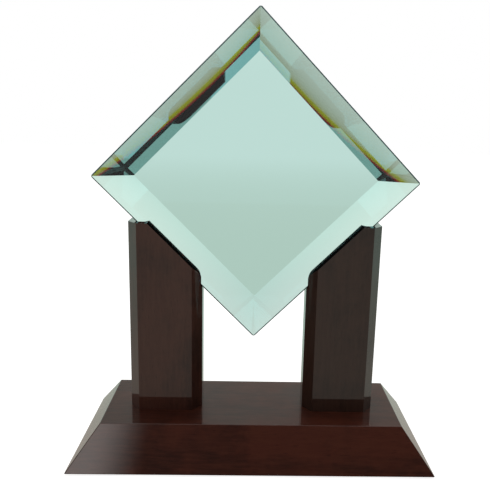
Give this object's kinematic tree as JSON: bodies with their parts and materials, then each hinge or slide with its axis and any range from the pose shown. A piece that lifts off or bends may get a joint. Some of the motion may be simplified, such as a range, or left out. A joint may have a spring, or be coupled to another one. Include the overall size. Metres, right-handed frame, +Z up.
{
  "type": "crystal award",
  "caption": "Desk award: a square bevelled jade-glass plate on its corner, held in the grooves of upright lacquered posts on a bevelled wooden base.",
  "frame": {"origin": "bottom centre of the felt pad under the base, on the surface the award stands on", "axes": "+Z up; -Y is the front, where the plate's flat face looks; +X to the viewer's right"},
  "size_m": [0.2374, 0.1044, 0.2927],
  "materials": {
    "rosewood": "dark rosewood under a polished clear lacquer",
    "jade_glass": "polished pale green jade glass",
    "felt": "black wool felt",
    "screw_steel": "zinc-plated steel"
  },
  "bodies": {
    "stand": {"base_block": "rosewood", "left_post": "rosewood", "right_post": "rosewood", "left_post_screws": "screw_steel", "right_post_screws": "screw_steel", "base_felt": "felt"},
    "crystal": {"crystal_plate": "jade_glass"}
  },
  "joints": [
    {"name": "crystal_lift", "type": "slide", "parent": "stand", "child": "crystal", "axis": [0, 0, 1], "range_m": [0, 0.1]}
  ]
}
